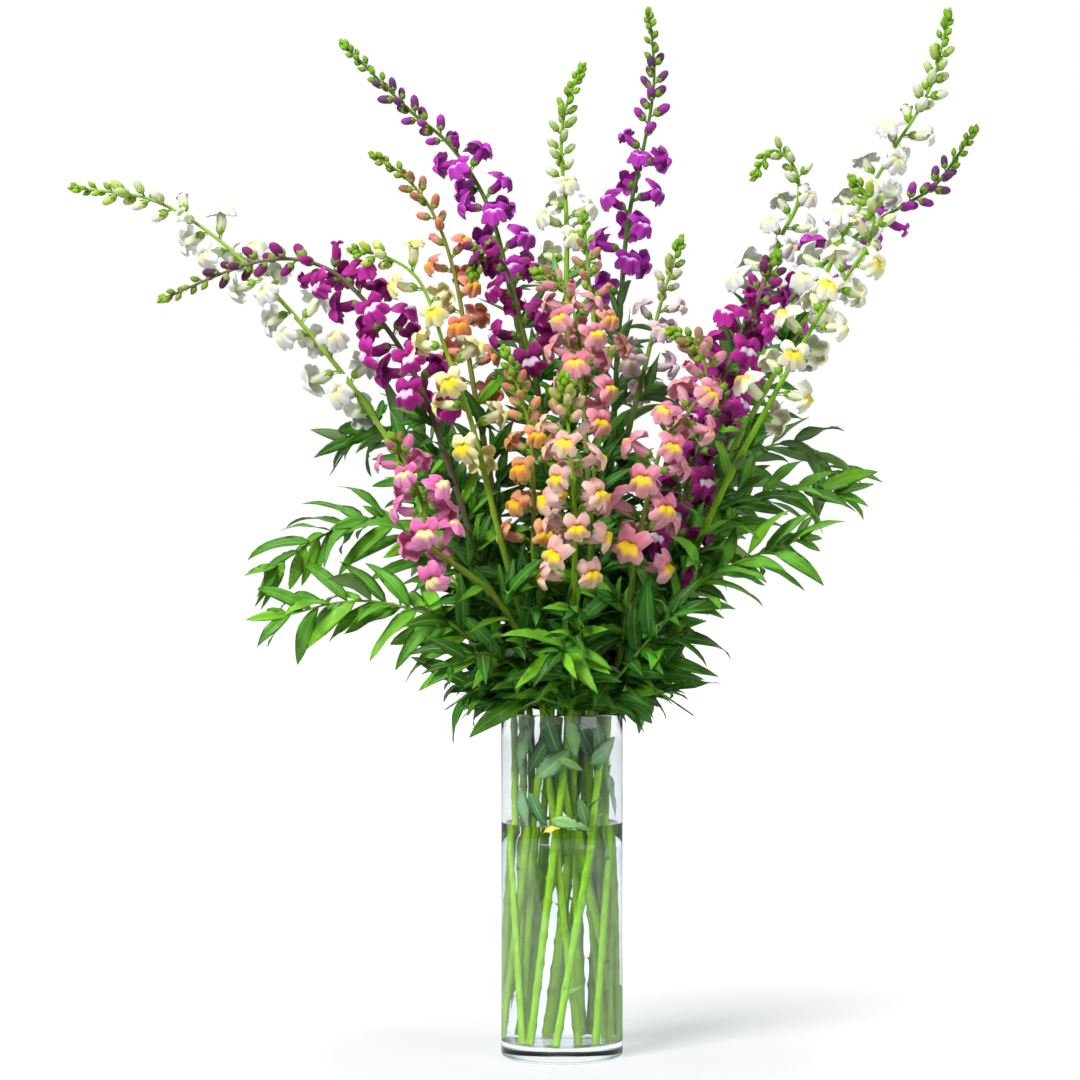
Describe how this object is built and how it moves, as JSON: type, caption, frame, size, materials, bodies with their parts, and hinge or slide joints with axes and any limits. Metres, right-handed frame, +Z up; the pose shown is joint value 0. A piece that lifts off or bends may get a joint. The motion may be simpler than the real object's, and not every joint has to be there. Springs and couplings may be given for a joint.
{
  "type": "snapdragon bouquet in a glass vase",
  "caption": "Mixed bouquet of tall cut snapdragons with leafy side shoots, standing in a clear glass cylinder vase of water.",
  "frame": {"origin": "centre of the vase's underside, where it rests", "axes": "+Z up along the vase's axis, -Y towards the viewer the bouquet faces, +X to that viewer's right"},
  "size_m": [0.8258, 0.4021, 0.9651],
  "materials": {
    "vase_glass": "clear polished soda-lime glass, thick at the floor",
    "water": "clear still water",
    "stalk": "fresh waxy green stalk with leaf scars",
    "foliage": "dark green lance-shaped leaves, paler underneath",
    "petals_white": "velvety white with a greenish cream throat",
    "petals_yellow": "velvety pale lemon with a bright yellow palate",
    "petals_orange": "velvety salmon upper lip and golden orange lower lip",
    "petals_peach": "velvety peach pink with a yellow palate",
    "petals_pink": "velvety clear pink with a pale yellow palate",
    "petals_salmon_pink": "velvety salmon pink with a yellow palate",
    "petals_pale_pink": "velvety pale mauve pink",
    "petals_magenta": "velvety magenta with a white throat",
    "petals_purple": "velvety bright purple with a paler throat",
    "petals_dark_purple": "velvety deep purple magenta"
  },
  "bodies": {
    "root": {"vase": "vase_glass", "water": "water", "stem_white_left": "stalk", "florets_white_left": "petals_white", "stem_magenta_left": "stalk", "florets_magenta_left": "petals_magenta", "stem_purple_upper_left": "stalk", "florets_purple_upper_left": "petals_purple", "stem_orange_left": "stalk", "florets_orange_left": "petals_orange", "stem_yellow_left": "stalk", "florets_yellow_left": "petals_yellow", "stem_pink_left": "stalk", "florets_pink_left": "petals_pink", "stem_white_centre": "stalk", "florets_white_centre": "petals_white", "stem_purple_upper_centre": "stalk", "florets_purple_upper_centre": "petals_purple", "stem_peach_centre": "stalk", "florets_peach_centre": "petals_peach", "stem_pale_pink_right": "stalk", "florets_pale_pink_right": "petals_pale_pink", "stem_pink_centre": "stalk", "florets_pink_centre": "petals_salmon_pink", "stem_peach_front": "stalk", "florets_peach_front": "petals_peach", "stem_orange_centre": "stalk", "florets_orange_centre": "petals_orange", "stem_dark_purple_centre": "stalk", "florets_dark_purple_centre": "petals_dark_purple", "stem_pink_right": "stalk", "florets_pink_right": "petals_salmon_pink", "stem_magenta_right": "stalk", "florets_magenta_right": "petals_magenta", "stem_purple_right_far": "stalk", "florets_purple_right_far": "petals_purple", "stem_white_right_upper": "stalk", "florets_white_right_upper": "petals_white", "stem_white_droop_right": "stalk", "florets_white_droop_right": "petals_white", "stem_yellow_right": "stalk", "florets_yellow_right": "petals_yellow", "stem_magenta_low_right": "stalk", "florets_magenta_low_right": "petals_dark_purple", "shoot_left_low": "foliage", "shoot_left_high": "foliage", "shoot_left_top": "foliage", "shoot_right_mid": "foliage", "shoot_right_low": "foliage", "shoot_right_top": "foliage", "shoot_front_left": "foliage", "shoot_front_centre": "foliage", "shoot_front_right": "foliage", "shoot_rim_left": "foliage", "shoot_rim_right": "foliage", "shoot_back_left": "foliage", "shoot_back_centre": "foliage", "shoot_back_right": "foliage"}
  },
  "joints": []
}
